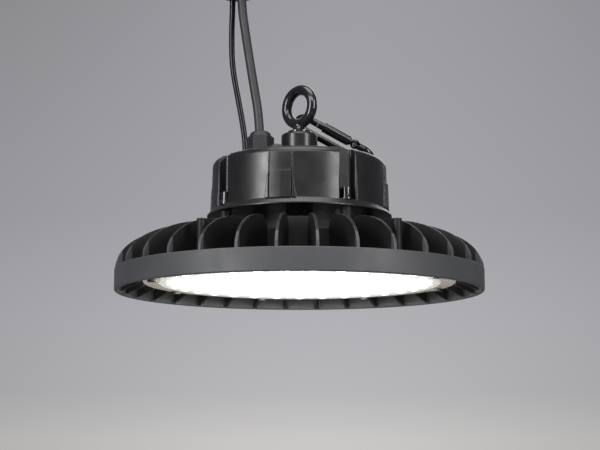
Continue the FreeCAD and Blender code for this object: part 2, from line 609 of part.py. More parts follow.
def base_gasket():
    """Ring around the cavity, with an ear inside each screw."""
    wall = tube(2 * BASE_RADIUS, 2 * (COVER_RADIUS - COVER_WALL + 0.5), BASE_TOP, COVER_Z)
    ear = rod(DRIVER_SCREW_D + 7, BASE_TOP, COVER_Z, PILLAR_R).common(rod(2 * BASE_RADIUS, BASE_TOP, COVER_Z))
    body = joined(wall, quarters(ear, PILLAR_FIRST_DEG))
    hole = rod(DRIVER_SCREW_D + 2 * HOLE_CLEARANCE, BASE_TOP - 1, COVER_Z + 1, PILLAR_R)
    return without(body, quarters(hole, PILLAR_FIRST_DEG))


def driver_screws():
    length = LOCK_WASHER_TOP - SEAT_Z + DRIVER_SCREW_LENGTH
    one = screw(DRIVER_SCREW_D, DRIVER_SCREW_HEAD_D, DRIVER_SCREW_HEAD, length, LOCK_WASHER_TOP, PILLAR_R)
    return quarters(one, PILLAR_FIRST_DEG)


def driver_washers():
    bore = DRIVER_SCREW_D + 2 * WASHER_CLEARANCE
    return quarters(tube(WASHER_D, bore, SEAT_Z, WASHER_TOP, PILLAR_R), PILLAR_FIRST_DEG)


def driver_lock_washers():
    """Split rings, with the split on the outer side."""
    bore = DRIVER_SCREW_D + 2 * WASHER_CLEARANCE
    ring = tube(LOCK_WASHER_D, bore, WASHER_TOP, LOCK_WASHER_TOP, PILLAR_R)
    split = Part.makeBox(LOCK_WASHER_D, LOCK_WASHER_GAP, LOCK_WASHER_WALL + 2,
                         V(PILLAR_R, -LOCK_WASHER_GAP / 2, WASHER_TOP - 1))
    return quarters(ring.cut(split), PILLAR_FIRST_DEG)


# ---------------------------------------------------------------- driver inside
def standoff_places():
    return [(x, y) for x in (-STANDOFF_X, STANDOFF_X) for y in (-STANDOFF_Y, STANDOFF_Y)]


def driver_board():
    board = block(DRIVER_BOARD, 0, 0, BOARD_Z)
    upright = [e for e in board.Edges if abs(e.Vertexes[0].Z - e.Vertexes[1].Z) > 1]
    board = board.makeFillet(DRIVER_BOARD_CORNER, upright)
    hole = BOARD_SCREW_D + 2 * HOLE_CLEARANCE
    holes = [rod(hole, BOARD_Z - 1, BOARD_TOP + 1, x, y) for x, y in standoff_places()]
    return without(board, holes + [rod(BOARD_HOLE_D, BOARD_Z - 1, BOARD_TOP + 1)])


def driver_board_screws():
    one = screw(BOARD_SCREW_D, BOARD_SCREW_HEAD_D, BOARD_SCREW_HEAD, BOARD_SCREW_LENGTH,
                BOARD_TOP, 0.0, True, 2.0)
    return [one.translated(V(x, y, 0)) for x, y in standoff_places()]


def transformer():
    core = block(TRANSFORMER_CORE, *TRANSFORMER_AT, BOARD_TOP)
    coil_z = BOARD_TOP + (TRANSFORMER_CORE[2] - TRANSFORMER_COIL[2]) / 2
    return core.fuse(block(TRANSFORMER_COIL, *TRANSFORMER_AT, coil_z))


# ---------------------------------------------------------------- eye bolt
def eye_bolt():
    """Forged ring on a collar and a threaded shank. The neck narrows into the ring's lower bar."""
    seat = BOSS_TOP_Z + EYE_SEAL_WALL
    ring = Part.makeTorus(EYE_RING_R, EYE_BAR_D / 2, V(0, 0, EYE_CENTRE_Z), V(0, 1, 0))
    ring = spun(ring, EYE_TURN_DEG)
    bar_z = EYE_CENTRE_Z - EYE_RING_R
    collar, neck = EYE_COLLAR_D / 2, EYE_NECK_D / 2
    shoulder = seat + EYE_COLLAR_HEIGHT
    stem = turned((0, seat), (collar, seat), (collar, shoulder),
                  (neck + 1.6, shoulder + 1.2, neck, bar_z - 1.2), (0, bar_z))
    shank = rod(EYE_THREAD_D, BOSS_TOP_Z - EYE_THREAD_LENGTH, seat + 0.5)
    return joined(ring, [stem, shank])


# ---------------------------------------------------------------- snap hook
def on_hook(s, w, n=0.0):
    """Point of the hook: s from its end beside the eye, w from its middle to the gate, n off its plane."""
    return HOOK_END + HOOK_ALONG * s + HOOK_ACROSS * w + HOOK_NORMAL * n


def hook_rod(diameter, s0, s1, w):
    return Part.makeCylinder(diameter / 2, s1 - s0, on_hook(s0, w), HOOK_ALONG)


def cross_rod(diameter, s, w, length):
    return Part.makeCylinder(diameter / 2, length, on_hook(s, w, -length / 2), HOOK_NORMAL)


def hook_slab(s0, s1, width, w, thickness):
    """Flat bar along the hook, centred on its plane."""
    corners = [on_hook(s, w + side * width / 2, -thickness / 2)
               for s, side in ((s0, -1), (s1, -1), (s1, 1), (s0, 1))]
    return Part.Face(Part.makePolygon(corners + corners[:1])).extrude(HOOK_NORMAL * thickness)


def snap_hook_body():
    bend = HOOK_WIDTH / 2
    far = HOOK_LENGTH
    path = Part.Wire([Part.LineSegment(on_hook(NOSE_S, bend), on_hook(bend, bend)).toShape(),
                      Part.Arc(on_hook(bend, bend), on_hook(0, 0), on_hook(bend, -bend)).toShape(),
                      Part.LineSegment(on_hook(bend, -bend), on_hook(far - bend, -bend)).toShape(),
                      Part.Arc(on_hook(far - bend, -bend), on_hook(far, 0),
                               on_hook(far - bend, bend)).toShape(),
                      Part.LineSegment(on_hook(far - bend, bend), on_hook(PIVOT_S, bend)).toShape()])
    section = Part.Wire(Part.makeCircle(HOOK_BAR_D / 2, on_hook(NOSE_S, bend), HOOK_ALONG))
    bar = path.makePipeShell([section], True, True)
    knuckle = cross_rod(HOOK_BAR_D, PIVOT_S, bend, HOOK_BAR_D - 0.4)
    slot = hook_slab(PIVOT_S - 5, PIVOT_S + 4.2, HOOK_BAR_D + 2, bend, TONGUE_WALL + 2 * TONGUE_CLEARANCE)
    pin_hole = cross_rod(PIVOT_PIN_D + 2 * PIN_CLEARANCE, PIVOT_S, bend, HOOK_BAR_D + 2)
    return bar.fuse(knuckle).cut(slot).cut(pin_hole)


def snap_hook_gate():
    side = HOOK_WIDTH / 2
    shoulder = PIVOT_S - TONGUE_LENGTH
    tongue_d = HOOK_BAR_D - 0.8
    tongue = hook_slab(shoulder - 1, PIVOT_S, tongue_d, side, TONGUE_WALL)
    tongue = tongue.fuse(cross_rod(tongue_d, PIVOT_S, side, TONGUE_WALL))
    body = hook_rod(GATE_D, NOSE_S + GATE_GAP, shoulder, side).fuse(tongue)
    hole = cross_rod(PIVOT_PIN_D + 4 * PIN_CLEARANCE, PIVOT_S, side, TONGUE_WALL + 2)
    return body.cut(hole).removeSplitter()


def snap_hook_sleeve():
    side = HOOK_WIDTH / 2
    bore = GATE_D + 2 * SLEEVE_CLEARANCE
    body = hook_rod(SLEEVE_D, SLEEVE_S, SLEEVE_S + SLEEVE_LENGTH, side)
    grooves = [hook_rod(SLEEVE_D + 1, s, s + 0.8, side).cut(hook_rod(SLEEVE_D - 0.7, s - 1, s + 2, side))
               for s in (SLEEVE_S + 2.0, SLEEVE_S + SLEEVE_LENGTH - 2.8)]
    return without(body, grooves + [hook_rod(bore, SLEEVE_S - 1, SLEEVE_S + SLEEVE_LENGTH + 1, side)])


# ---------------------------------------------------------------- glands, vent and cables
def gland(name, at, across_flats, dome_d, thread_d, base, nut, dome, cable_d):
    """Cable gland in the cover's roof: body, rubber seal, domed cap nut and the locknut inside."""
    x, y = at
    seat, nut_z = COVER_TOP_Z, COVER_TOP_Z + base
    bore = thread_d - 2 * GLAND_WALL
    neck_top = nut_z + min(GLAND_NECK, nut - 2)
    inner_end = ROOF_Z - LOCKNUT_HEIGHT - 1
    body = joined(hexagon(across_flats, seat, nut_z, x, y), [rod(thread_d, inner_end, neck_top, x, y)])
    save(name + "_gland_body", body.cut(rod(bore, inner_end - 1, neck_top + 1, x, y)))
    save(name + "_gland_seal", tube(bore, cable_d, nut_z, neck_top + 0.8, x, y))
    top = nut_z + nut + dome
    half, dome_half = across_flats / math.sqrt(3), dome_d / 2
    rounded = turned((0, nut_z), (half - 0.8, nut_z), (half, nut_z + 0.6), (half, nut_z + nut - 1.2),
                     (dome_half, nut_z + nut),
                     (dome_half - 0.7, nut_z + nut + dome * 0.62, dome_half - 3, top), (0, top))
    cap = hexagon(across_flats, nut_z, nut_z + nut, x, y).fuse(rod(dome_d, nut_z + nut - 1, top, x, y))
    cap = cap.common(rounded.translated(V(x, y, 0)))
    cavity_d = thread_d + 2 * TAPPED_CLEARANCE
    cap = cap.cut(rod(cavity_d, nut_z - 1, neck_top + 0.8, x, y))
    cap = cap.cut(rod(cable_d + 2 * CABLE_CLEARANCE, nut_z, top + 1, x, y))
    save(name + "_gland_nut", cap.removeSplitter())
    locknut = hexagon(across_flats + LOCKNUT_GROWTH, ROOF_Z - LOCKNUT_HEIGHT, ROOF_Z, x, y)
    save(name + "_gland_locknut", locknut.cut(rod(cavity_d, 0, ROOF_Z + 1, x, y)))


def cable(name, route, diameter):
    """Round tube along straight runs, with each corner an arc as large as its two runs allow."""
    points = [V(*p) for p in route]
    edges, here, radii = [], points[0], []
    for before, corner, after in zip(points, points[1:], points[2:]):
        back, on = (before - corner), (after - corner)
        shorter = min(back.Length, on.Length)
        back.normalize()
        on.normalize()
        turn = math.pi - back.getAngle(on)
        reach = 0.45 * shorter
        radius = reach / math.tan(turn / 2)
        middle = back + on
        middle.normalize()
        radii.append(radius)
        start, end = corner + back * reach, corner + on * reach
        peak = corner + middle * (radius / math.cos(turn / 2) - radius)
        edges += [Part.LineSegment(here, start).toShape(), Part.Arc(start, peak, end).toShape()]
        here = end
    edges.append(Part.LineSegment(here, points[-1]).toShape())
    path = Part.Wire(edges)
    section = Part.Wire(Part.makeCircle(diameter / 2, points[0], points[1] - points[0]))
    solid = path.makePipeShell([section], True, True)
    expected = path.Length * math.pi * diameter ** 2 / 4
    print(name, "length %.1f" % path.Length, "volume ratio %.4f" % (solid.Volume / expected),
          "radii", [round(r) for r in radii])
    save(name, solid)


def ceiling_rose():
    """Small cover on the ceiling that both cables run up into."""
    holes = []
    for route, diameter in ((POWER_ROUTE, POWER_GLAND["cable_d"]), (DIMMING_ROUTE, DIMMING_GLAND["cable_d"])):
        holes.append(rod(diameter + 2 * ROSE_CLEARANCE, ROSE_Z - 1, route[-1][2], *route[-1][:2]))
    x, y = [(POWER_ROUTE[-1][i] + DIMMING_ROUTE[-1][i]) / 2 for i in (0, 1)]
    half, top = ROSE_D / 2, ROSE_Z + ROSE_HEIGHT
    body = turned((0, ROSE_Z), (half - ROSE_EDGE, ROSE_Z), (half, ROSE_Z + ROSE_EDGE), (half, top), (0, top))
    return without(body.translated(V(x, y, 0)), holes)


def vent_plug():
    half = VENT_D / 2
    cap = turned((0, COVER_TOP_Z), (half, COVER_TOP_Z), (half, COVER_TOP_Z + VENT_HEIGHT - 2.6),
                 (half - 1.2, COVER_TOP_Z + VENT_HEIGHT - 0.9, half - 3.4, COVER_TOP_Z + VENT_HEIGHT),
                 (0, COVER_TOP_Z + VENT_HEIGHT))
    plug = cap.fuse(rod(VENT_THREAD_D, ROOF_Z - 1, COVER_TOP_Z + 0.5))
    return plug.translated(V(*VENT_AT, 0)).removeSplitter()


# ---------------------------------------------------------------- build
def build():
    os.makedirs("parts", exist_ok=True)
    save("heat_sink", heat_sink())
    save("lens", lens())
    save("lens_gasket", tube(2 * (GASKET_INNER_R + GASKET_WALL), 2 * GASKET_INNER_R, LENS_TOP, LAND_Z))
    save("lens_screws", *lens_screws())
    save("thermal_pad", drilled_disc(LAMP_BOARD_RADIUS, PLATE_Z - PAD_WALL, PLATE_Z))
    save("lamp_board", drilled_disc(LAMP_BOARD_RADIUS, LAMP_BOARD_Z, PLATE_Z - PAD_WALL))
    save("lamp_chips", *chips())
    save("lamp_board_screws", *lamp_screws())
    save("lamp_lead", rod(LEAD_D, LAMP_BOARD_Z + 0.2, BOARD_TOP + 4))
    save("hub_seal", tube(HUB_D - 1, HUB_BORE_D, DRIVER_Z - LENS_GAP, DRIVER_Z))
    save("driver_base", driver_base())
    save("lead_grommet", lead_grommet())
    save("driver_base_gasket", base_gasket())
    save("driver_cover", driver_cover())
    save("driver_screws", *driver_screws())
    save("driver_washers", *driver_washers())
    save("driver_lock_washers", *driver_lock_washers())
    save("driver_board", driver_board())
    save("driver_board_screws", *driver_board_screws())
    save("transformer", transformer())
    save("capacitors", *[rod(d, BOARD_TOP, BOARD_TOP + h, *at) for at, d, h in CAPACITORS])
    save("choke", tube(CHOKE_D, CHOKE_BORE_D, BOARD_TOP, BOARD_TOP + CHOKE_HEIGHT, *CHOKE_AT))
    save("input_terminal", block(TERMINAL, *INPUT_TERMINAL_AT, BOARD_TOP))
    save("output_terminal", block(TERMINAL, *OUTPUT_TERMINAL_AT, BOARD_TOP))
    save("eye_bolt", eye_bolt())
    save("eye_bolt_seal", tube(EYE_SEAL_D, EYE_THREAD_D + 0.2, BOSS_TOP_Z, BOSS_TOP_Z + EYE_SEAL_WALL))
    save("snap_hook_body", snap_hook_body())
    save("snap_hook_gate", snap_hook_gate())
    save("snap_hook_pin", cross_rod(PIVOT_PIN_D, PIVOT_S, HOOK_WIDTH / 2, HOOK_BAR_D + 0.6))
    save("snap_hook_sleeve", snap_hook_sleeve())
    gland("power", **POWER_GLAND)
    gland("dimming", **DIMMING_GLAND)
    save("vent_plug", vent_plug())
    cable("power_cable", POWER_ROUTE, POWER_GLAND["cable_d"])
    cable("dimming_cable", DIMMING_ROUTE, DIMMING_GLAND["cable_d"])
    save("ceiling_rose", ceiling_rose())


build()
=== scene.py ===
import bpy
import math
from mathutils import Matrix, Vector


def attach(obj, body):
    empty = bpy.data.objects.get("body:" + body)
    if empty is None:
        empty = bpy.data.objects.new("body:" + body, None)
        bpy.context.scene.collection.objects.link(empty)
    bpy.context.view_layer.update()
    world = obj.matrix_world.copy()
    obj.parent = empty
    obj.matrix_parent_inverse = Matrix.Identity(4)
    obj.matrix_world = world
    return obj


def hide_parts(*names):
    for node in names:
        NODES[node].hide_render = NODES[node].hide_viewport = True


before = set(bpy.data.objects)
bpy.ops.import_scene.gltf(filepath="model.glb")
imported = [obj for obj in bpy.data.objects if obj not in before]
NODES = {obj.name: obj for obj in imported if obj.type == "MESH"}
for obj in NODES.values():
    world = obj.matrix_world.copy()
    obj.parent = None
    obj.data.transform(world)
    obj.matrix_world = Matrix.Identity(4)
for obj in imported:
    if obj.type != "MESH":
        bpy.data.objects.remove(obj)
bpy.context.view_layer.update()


# ---------------------------------------------------------------- camera
CAMERA_PLACE = (0.0005, -1.050, -0.1107)
CAMERA_PITCH_DEG = 9.036       # looking up
CAMERA_LENS_MM = 77.5
SENSOR_WIDTH_MM = 36.0


def set_camera():
    data = bpy.data.cameras.new("camera")
    data.lens, data.sensor_width = CAMERA_LENS_MM, SENSOR_WIDTH_MM
    camera = bpy.data.objects.new("camera", data)
    camera.location = CAMERA_PLACE
    camera.rotation_euler = (math.radians(90 + CAMERA_PITCH_DEG), 0, 0)
    bpy.context.scene.collection.objects.link(camera)
    bpy.context.scene.camera = camera


# ---------------------------------------------------------------- cables
POWER_D, POWER_LENGTH, POWER_EXIT_Z = 0.0075, 0.1635, 0.1280
DIMMING_D, DIMMING_LENGTH, DIMMING_EXIT_Z = 0.0050, 0.1578, 0.1205
POWER_ROUTE = ((-0.0320, -0.0120, 0.1000), (-0.0320, -0.0120, 0.1375), (-0.0389, -0.0094, 0.1780),
               (-0.0452, -0.0064, 0.2180), (-0.0488, -0.0045, 0.2440), (-0.0488, -0.0045, 0.2620))
DIMMING_ROUTE = ((-0.0454, 0.0200, 0.1060), (-0.0454, 0.0200, 0.1270), (-0.0482, 0.0186, 0.1475),
                 (-0.0522, 0.0164, 0.1685), (-0.0570, 0.0128, 0.1940), (-0.0576, 0.0092, 0.2210),
                 (-0.0567, 0.0060, 0.2440), (-0.0567, 0.0060, 0.2620))


def cable(name, route, diameter):
    """Smooth round cable along its route, from inside its gland up into the ceiling rose."""
    curve = bpy.data.curves.new(name, "CURVE")
    curve.dimensions = "3D"
    spline = curve.splines.new("NURBS")
    spline.points.add(len(route) - 1)
    for point, place in zip(spline.points, route):
        point.co = (*place, 1.0)
        point.radius = diameter / 2
    spline.order_u = 3
    spline.use_endpoint_u = True
    curve.resolution_u = 12
    curve.bevel_depth = 1.0    # times each point's radius
    curve.bevel_resolution = 8
    curve.use_fill_caps = True
    piece = bpy.data.objects.new(name, curve)
    bpy.context.scene.collection.objects.link(piece)
    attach(piece, "lamp")
    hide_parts(name.replace("_jacket", "_cable"))
    return piece


# ---------------------------------------------------------------- node helpers
def add(tree, kind, **settings):
    made = tree.nodes.new(kind)
    for key, value in settings.items():
        setattr(made, key, value)
    return made


def feed(tree, socket, value):
    """Links a socket, or sets a constant."""
    if isinstance(value, bpy.types.NodeSocket):
        tree.links.new(value, socket)
    elif isinstance(value, tuple) and len(value) == 3 and socket.type == "RGBA":
        socket.default_value = (*value, 1.0)
    else:
        socket.default_value = value


def calc(tree, operation, *values, clamp=False):
    made = add(tree, "ShaderNodeMath", operation=operation, use_clamp=clamp)
    for socket, value in zip(made.inputs, values):
        feed(tree, socket, value)
    return made.outputs[0]


def ramp(tree, value, low, high, to_low=0.0, to_high=1.0, smooth=True):
    made = add(tree, "ShaderNodeMapRange", interpolation_type="SMOOTHSTEP" if smooth else "LINEAR")
    for socket, given in zip(made.inputs, (value, low, high, to_low, to_high)):
        feed(tree, socket, given)
    return made.outputs[0]


def blend_colours(tree, share, first, second):
    made = add(tree, "ShaderNodeMix", data_type="RGBA")
    feed(tree, made.inputs[0], share)
    feed(tree, made.inputs[6], first)
    feed(tree, made.inputs[7], second)
    return made.outputs[2]


def noise(tree, where, scale, detail=3.0, rough=0.55):
    made = add(tree, "ShaderNodeTexNoise")
    feed(tree, made.inputs["Vector"], where)
    feed(tree, made.inputs["Scale"], scale)
    feed(tree, made.inputs["Detail"], detail)
    feed(tree, made.inputs["Roughness"], rough)
    return made.outputs["Fac"]


def place_of(tree):
    return add(tree, "ShaderNodeTexCoord").outputs["Object"]


def hypotenuse(tree, a, b):
    return calc(tree, "SQRT", calc(tree, "ADD", calc(tree, "MULTIPLY", a, a), calc(tree, "MULTIPLY", b, b)))


def new_group(name, inputs, outputs):
    """Shader node group. Inputs and outputs are (name, kind, default) and (name, kind)."""
    tree = bpy.data.node_groups.new(name, "ShaderNodeTree")
    for label, kind, default in inputs:
        socket = tree.interface.new_socket(name=label, in_out="INPUT", socket_type="NodeSocket" + kind)
        socket.default_value = default
    for label, kind in outputs:
        tree.interface.new_socket(name=label, in_out="OUTPUT", socket_type="NodeSocket" + kind)
    return tree, add(tree, "NodeGroupInput").outputs, add(tree, "NodeGroupOutput").inputs


def use(tree, group, **values):
    made = add(tree, "ShaderNodeGroup", node_tree=GROUPS[group])
    for key, value in values.items():
        feed(tree, made.inputs[key.replace("_", " ")], value)
    return made.outputs


# ---------------------------------------------------------------- shared effects
def surface_grain():
    """Mottled colour, uneven gloss and a fine orange peel, with edges that look slightly rounded."""
    tree, given, out = new_group("surface grain", [
        ("Colour", "Color", (0.5, 0.5, 0.5, 1)), ("Shade", "Color", (0.3, 0.3, 0.3, 1)),
        ("Grain", "Float", 900.0), ("Height", "Float", 0.00003), ("Rounding", "Float", 0.0004),
        ("Rough Low", "Float", 0.4), ("Rough High", "Float", 0.5)],
        [("Colour", "Color"), ("Roughness", "Float"), ("Normal", "Vector")])
    where = place_of(tree)
    broad = noise(tree, where, 23.0, 4.0)
    fine = noise(tree, where, given["Grain"], 2.0, 0.6)
    mottle = calc(tree, "ADD", calc(tree, "MULTIPLY", broad, 0.65), calc(tree, "MULTIPLY", fine, 0.35))
    feed(tree, out["Colour"], blend_colours(tree, ramp(tree, mottle, 0.36, 0.64),
                                            given["Shade"], given["Colour"]))
    smear = noise(tree, where, 61.0, 5.0, 0.65)
    feed(tree, out["Roughness"], ramp(tree, smear, 0.3, 0.7, given["Rough Low"], given["Rough High"]))
    edge = add(tree, "ShaderNodeBevel", samples=4)
    feed(tree, edge.inputs["Radius"], given["Rounding"])
    bump = add(tree, "ShaderNodeBump")
    feed(tree, bump.inputs["Height"], fine)
    feed(tree, bump.inputs["Distance"], given["Height"])
    feed(tree, bump.inputs["Normal"], edge.outputs[0])
    feed(tree, out["Normal"], bump.outputs[0])
    return tree


def edge_wear_and_highlight():
    """Broken mask along the outer edges, where a coat rubs thin; on the heat sink's crests and the black
    cover it also paints a highlight.
    """
    tree, given, out = new_group("edge wear", [("Width", "Float", 0.0006), ("Break Up", "Float", 300.0)],
                                 [("Mask", "Float")])
    edge = add(tree, "ShaderNodeBevel", samples=4)
    feed(tree, edge.inputs["Radius"], given["Width"])
    dot = add(tree, "ShaderNodeVectorMath", operation="DOT_PRODUCT")
    feed(tree, dot.inputs[0], edge.outputs[0])
    feed(tree, dot.inputs[1], add(tree, "ShaderNodeNewGeometry").outputs["Normal"])
    bent = calc(tree, "SUBTRACT", 1.0, dot.outputs["Value"])
    patches = ramp(tree, noise(tree, place_of(tree), given["Break Up"], 4.0), 0.42, 0.62)
    feed(tree, out["Mask"], calc(tree, "MULTIPLY", ramp(tree, bent, 0.02, 0.16), patches, clamp=True))
    return tree


def settled_dust():
    """Thin patchy dust on faces that look up."""
    tree, given, out = new_group("settled dust", [("Amount", "Float", 0.2)], [("Mask", "Float")])
    split = add(tree, "ShaderNodeSeparateXYZ")
    feed(tree, split.inputs[0], add(tree, "ShaderNodeNewGeometry").outputs["Normal"])
    upward = ramp(tree, split.outputs["Z"], 0.45, 0.95)
    patches = ramp(tree, noise(tree, place_of(tree), 70.0, 6.0, 0.7), 0.35, 0.75, 0.25, 1.0)
    feed(tree, out["Mask"], calc(tree, "MULTIPLY", calc(tree, "MULTIPLY", upward, patches), given["Amount"]))
    return tree


def dome_ring():
    """Spot over every dome of one ring of the lens: its circle's radius and how many stand on it."""
    tree, given, out = new_group("dome ring", [("Radius", "Float", 0.024), ("Count", "Float", 8.0),
                                               ("Spot", "Float", 0.0052)], [("Mask", "Float")])
    split = add(tree, "ShaderNodeSeparateXYZ")
    feed(tree, split.inputs[0], place_of(tree))
    x, y = split.outputs["X"], split.outputs["Y"]
    radius = hypotenuse(tree, x, y)
    turns = calc(tree, "MULTIPLY", calc(tree, "DIVIDE", calc(tree, "ARCTAN2", y, x), 2 * math.pi),
                 given["Count"])
    off = calc(tree, "SUBTRACT", turns, calc(tree, "ROUND", turns))
    pitch = calc(tree, "DIVIDE", calc(tree, "MULTIPLY", given["Radius"], 2 * math.pi), given["Count"])
    along = calc(tree, "MULTIPLY", off, pitch)
    across = calc(tree, "SUBTRACT", radius, given["Radius"])
    feed(tree, out["Mask"], ramp(tree, hypotenuse(tree, along, across), given["Spot"], 0.0))
    return tree


def fine_grooves():
    """Even grooves across a direction, for windings, ribs and threads."""
    tree, given, out = new_group("fine grooves", [("Along", "Float", 0.0), ("Pitch", "Float", 0.001),
                                                  ("Depth", "Float", 0.0002)],
                                 [("Mask", "Float"), ("Normal", "Vector")])
    phase = calc(tree, "MULTIPLY", calc(tree, "DIVIDE", given["Along"], given["Pitch"]), 2 * math.pi)
    wave = calc(tree, "ADD", calc(tree, "MULTIPLY", calc(tree, "SINE", phase), 0.5), 0.5)
    feed(tree, out["Mask"], wave)
    bump = add(tree, "ShaderNodeBump")
    feed(tree, bump.inputs["Height"], wave)
    feed(tree, bump.inputs["Distance"], given["Depth"])
    feed(tree, out["Normal"], bump.outputs[0])
    return tree


GROUPS = {"grain": surface_grain(), "wear": edge_wear_and_highlight(), "dust": settled_dust(), "domes": dome_ring(),
          "grooves": fine_grooves()}


# ---------------------------------------------------------------- finishes
DUST_COLOUR = (0.30, 0.29, 0.27)
INSIDE_SHADE_FADES_FROM, INSIDE_SHADE_GONE_AT = 0.1448, 0.1462      # radii between which the painted shade inside the heat sink gives way to the charcoal coat
LENS_RINGS = ((0.024, 8), (0.046, 14), (0.068, 20), (0.088, 26), (0.105, 32))      # radius, domes
DOME_SPOT = 0.0054
LENS_EVEN_TO, LENS_DIM_FROM = 0.090, 0.111         # radii between which the lens dims
LENS_FLANGE_FROM, LENS_FLANGE_FULL = 0.1128, 0.1150
GLOW_SEEN, GLOW_ON_THE_REST = 2.2, 20.0            # the lens as it is seen, and as a lamp for the rest


def new_material(name):
    material = bpy.data.materials.new(name)
    material.use_nodes = True
    tree = material.node_tree
    shader = tree.nodes["Principled BSDF"]
    return material, tree, shader


def set_shader(shader, **values):
    for key, value in values.items():
        shader.inputs[key.replace("_", " ")].default_value = value


def finish(name, colour, shade, rough=(0.4, 0.5), grain=900.0, height=0.00003, rounding=0.0004, bare=None,
           wear=0.5, dust=0.0, **constants):
    """A coat, plastic, rubber or metal: grain and uneven gloss, worn edges where bare is given (on the black
    cover partly a painted highlight), and dust.
    """
    material, tree, shader = new_material(name)
    surface = use(tree, "grain", Colour=colour, Shade=shade, Grain=grain, Height=height, Rounding=rounding,
                  Rough_Low=rough[0], Rough_High=rough[1])
    shown = surface["Colour"]
    if bare:
        # worn edges; on the black cover these pale edges are also a painted highlight
        worn_and_lit_edges = calc(tree, "MULTIPLY", use(tree, "wear")["Mask"], wear)
        shown = blend_colours(tree, worn_and_lit_edges, shown, bare)
    if dust:
        shown = blend_colours(tree, use(tree, "dust", Amount=dust)["Mask"], shown, DUST_COLOUR)
    feed(tree, shader.inputs["Base Color"], shown)
    feed(tree, shader.inputs["Roughness"], surface["Roughness"])
    feed(tree, shader.inputs["Normal"], surface["Normal"])
    set_shader(shader, **constants)
    return material


def sink_coat():
    """Powder coat of the heat sink: charcoal rim, painted shade making it nearly black between the fins, pale
    crests from edge wear and a painted highlight.
    """
    material, tree, shader = new_material("charcoal powder coat")
    outer = use(tree, "grain", Colour=(0.052, 0.053, 0.058), Shade=(0.042, 0.043, 0.047), Grain=1400.0,
                Height=0.00003, Rounding=0.0005, Rough_Low=0.46, Rough_High=0.56)
    # painted shade: inside the rim, between the fins, the coat is painted nearly black
    shaded_inside = use(tree, "grain", Colour=(0.011, 0.011, 0.0115), Shade=(0.007, 0.007, 0.0075), Grain=1400.0,
                Height=0.00003, Rounding=0.0005, Rough_Low=0.5, Rough_High=0.62)
    rim = ramp(tree, radius_of(tree), INSIDE_SHADE_FADES_FROM, INSIDE_SHADE_GONE_AT)
    shown = blend_colours(tree, rim, shaded_inside["Colour"], outer["Colour"])
    # edge wear and a painted highlight: pale lines along the fin crests
    worn_and_lit_edges = calc(tree, "MULTIPLY", use(tree, "wear", Width=0.0008)["Mask"], 0.8)
    shown = blend_colours(tree, worn_and_lit_edges, shown, (0.13, 0.13, 0.135))
    shown = blend_colours(tree, use(tree, "dust", Amount=0.05)["Mask"], shown, DUST_COLOUR)
    feed(tree, shader.inputs["Base Color"], shown)
    feed(tree, shader.inputs["Roughness"], outer["Roughness"])
    feed(tree, shader.inputs["Normal"], outer["Normal"])
    # painted shade also lowers the gloss inside the rim
    feed(tree, shader.inputs["Specular IOR Level"], ramp(tree, rim, 0.0, 1.0, 0.25, 0.5))
    return material


def every_dome(tree, spot):
    """Mask of all the domes together, from one ring after the other."""
    together = None
    for radius, count in LENS_RINGS:
        ring = use(tree, "domes", Radius=radius, Count=float(count), Spot=spot)["Mask"]
        together = ring if together is None else calc(tree, "MAXIMUM", together, ring)
    return together


def radius_of(tree):
    """Distance from the light's axis."""
    split = add(tree, "ShaderNodeSeparateXYZ")
    feed(tree, split.inputs[0], place_of(tree))
    return hypotenuse(tree, split.outputs["X"], split.outputs["Y"])


def lit_lens():
    """Clear lens with the lamps on behind it: brightest over each dome, dim and beige at its flange."""
    material, tree, shader = new_material("lit lens")
    surface = use(tree, "grain", Colour=(0.80, 0.80, 0.78), Shade=(0.70, 0.70, 0.68), Grain=420.0,
                  Height=0.00004, Rounding=0.0003, Rough_Low=0.16, Rough_High=0.30)
    radius = radius_of(tree)
    flange = ramp(tree, radius, LENS_FLANGE_FROM, LENS_FLANGE_FULL)
    feed(tree, shader.inputs["Base Color"],
         blend_colours(tree, flange, surface["Colour"], (0.60, 0.55, 0.48)))
    feed(tree, shader.inputs["Roughness"], surface["Roughness"])
    feed(tree, shader.inputs["Normal"], surface["Normal"])
    spots = every_dome(tree, DOME_SPOT)
    middle = ramp(tree, radius, LENS_DIM_FROM, LENS_EVEN_TO)
    streaks = ramp(tree, noise(tree, place_of(tree), 330.0, 4.0, 0.7), 0.32, 0.68)
    far_out = blend_colours(tree, streaks, (0.20, 0.20, 0.18), (0.37, 0.37, 0.35))
    between = blend_colours(tree, middle, far_out, (0.62, 0.62, 0.605))
    lit = calc(tree, "MULTIPLY", spots, ramp(tree, middle, 0.0, 0.8, 0.3, 1.0))
    glow = blend_colours(tree, lit, between, (1.0, 1.0, 0.97))
    edge = blend_colours(tree, ramp(tree, noise(tree, place_of(tree), 260.0, 3.0), 0.35, 0.7),
                         (0.05, 0.045, 0.036), (0.15, 0.135, 0.11))
    feed(tree, shader.inputs["Emission Color"], blend_colours(tree, flange, glow, edge))
    seen = add(tree, "ShaderNodeLightPath").outputs["Is Camera Ray"]
    feed(tree, shader.inputs["Emission Strength"],
         ramp(tree, seen, 0.0, 1.0, GLOW_ON_THE_REST, GLOW_SEEN, smooth=False))
    set_shader(shader, Coat_Weight=0.5, Coat_Roughness=0.08, IOR=1.58)
    return material


